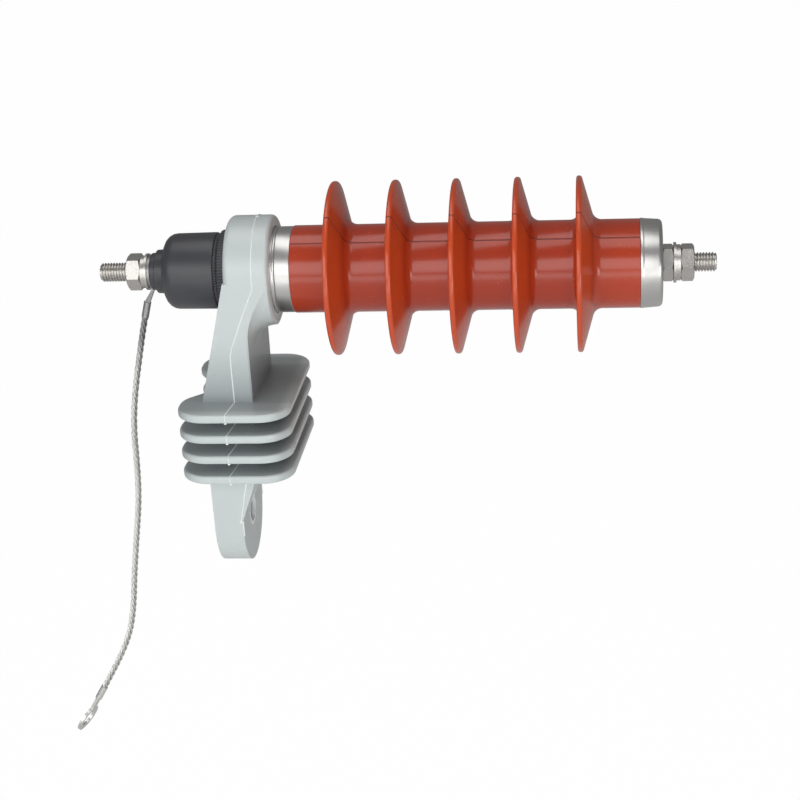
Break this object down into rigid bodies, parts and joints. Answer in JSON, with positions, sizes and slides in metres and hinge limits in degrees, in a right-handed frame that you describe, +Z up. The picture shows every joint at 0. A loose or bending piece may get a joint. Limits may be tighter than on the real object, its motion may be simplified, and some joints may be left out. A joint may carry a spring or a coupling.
{
  "type": "distribution surge arrester",
  "caption": "Polymer-housed distribution surge arrester with rain sheds, an insulating bracket, a ground lead disconnector and a hanging stranded ground lead.",
  "frame": {"origin": "centre of the bracket's bolt hole on the foot's seat face, where the part is bolted to its support", "axes": "+X along the arrester towards its line terminal and out of the seat face, +Z up the bracket arm from the foot to the ring, +Y across the arm"},
  "size_m": [0.3631, 0.0946, 0.3228],
  "materials": {
    "silicone": "gloss",
    "bracket_grey": "gloss",
    "shell_black": "satin",
    "polished_steel": "polished",
    "plated_steel": "bright plated",
    "aluminium": "machined",
    "varistor": "matt",
    "glass_fibre": "satin",
    "resistor": "matt",
    "brass": "plain",
    "tinned_copper": "tinned"
  },
  "bodies": {
    "root": {"silicone_housing": "silicone", "fibreglass_tube": "glass_fibre", "ground_end_cap": "polished_steel", "line_end_cap": "polished_steel", "ground_electrode": "aluminium", "line_electrode": "aluminium", "spacer_block": "aluminium", "contact_springs": "plated_steel", "line_stud": "plated_steel", "line_jam_nut": "plated_steel", "line_flat_washer": "plated_steel", "line_spring_washer": "plated_steel", "line_nut": "plated_steel", "mounting_bracket": "bracket_grey", "ground_stud": "plated_steel", "disconnector_cover": "shell_black", "disconnector_shell": "shell_black", "disconnector_plate": "plated_steel", "grading_resistor": "resistor", "release_cartridge": "brass", "disconnector_stud": "plated_steel", "ground_flat_washer": "plated_steel", "ground_spring_washer": "plated_steel", "ground_nut": "plated_steel", "lead_lug_upper": "tinned_copper", "ground_lead": "tinned_copper", "lead_lug_lower": "tinned_copper", "varistor_disc_1": "varistor", "varistor_disc_2": "varistor", "varistor_disc_3": "varistor", "varistor_disc_4": "varistor", "varistor_disc_5": "varistor"}
  },
  "joints": []
}
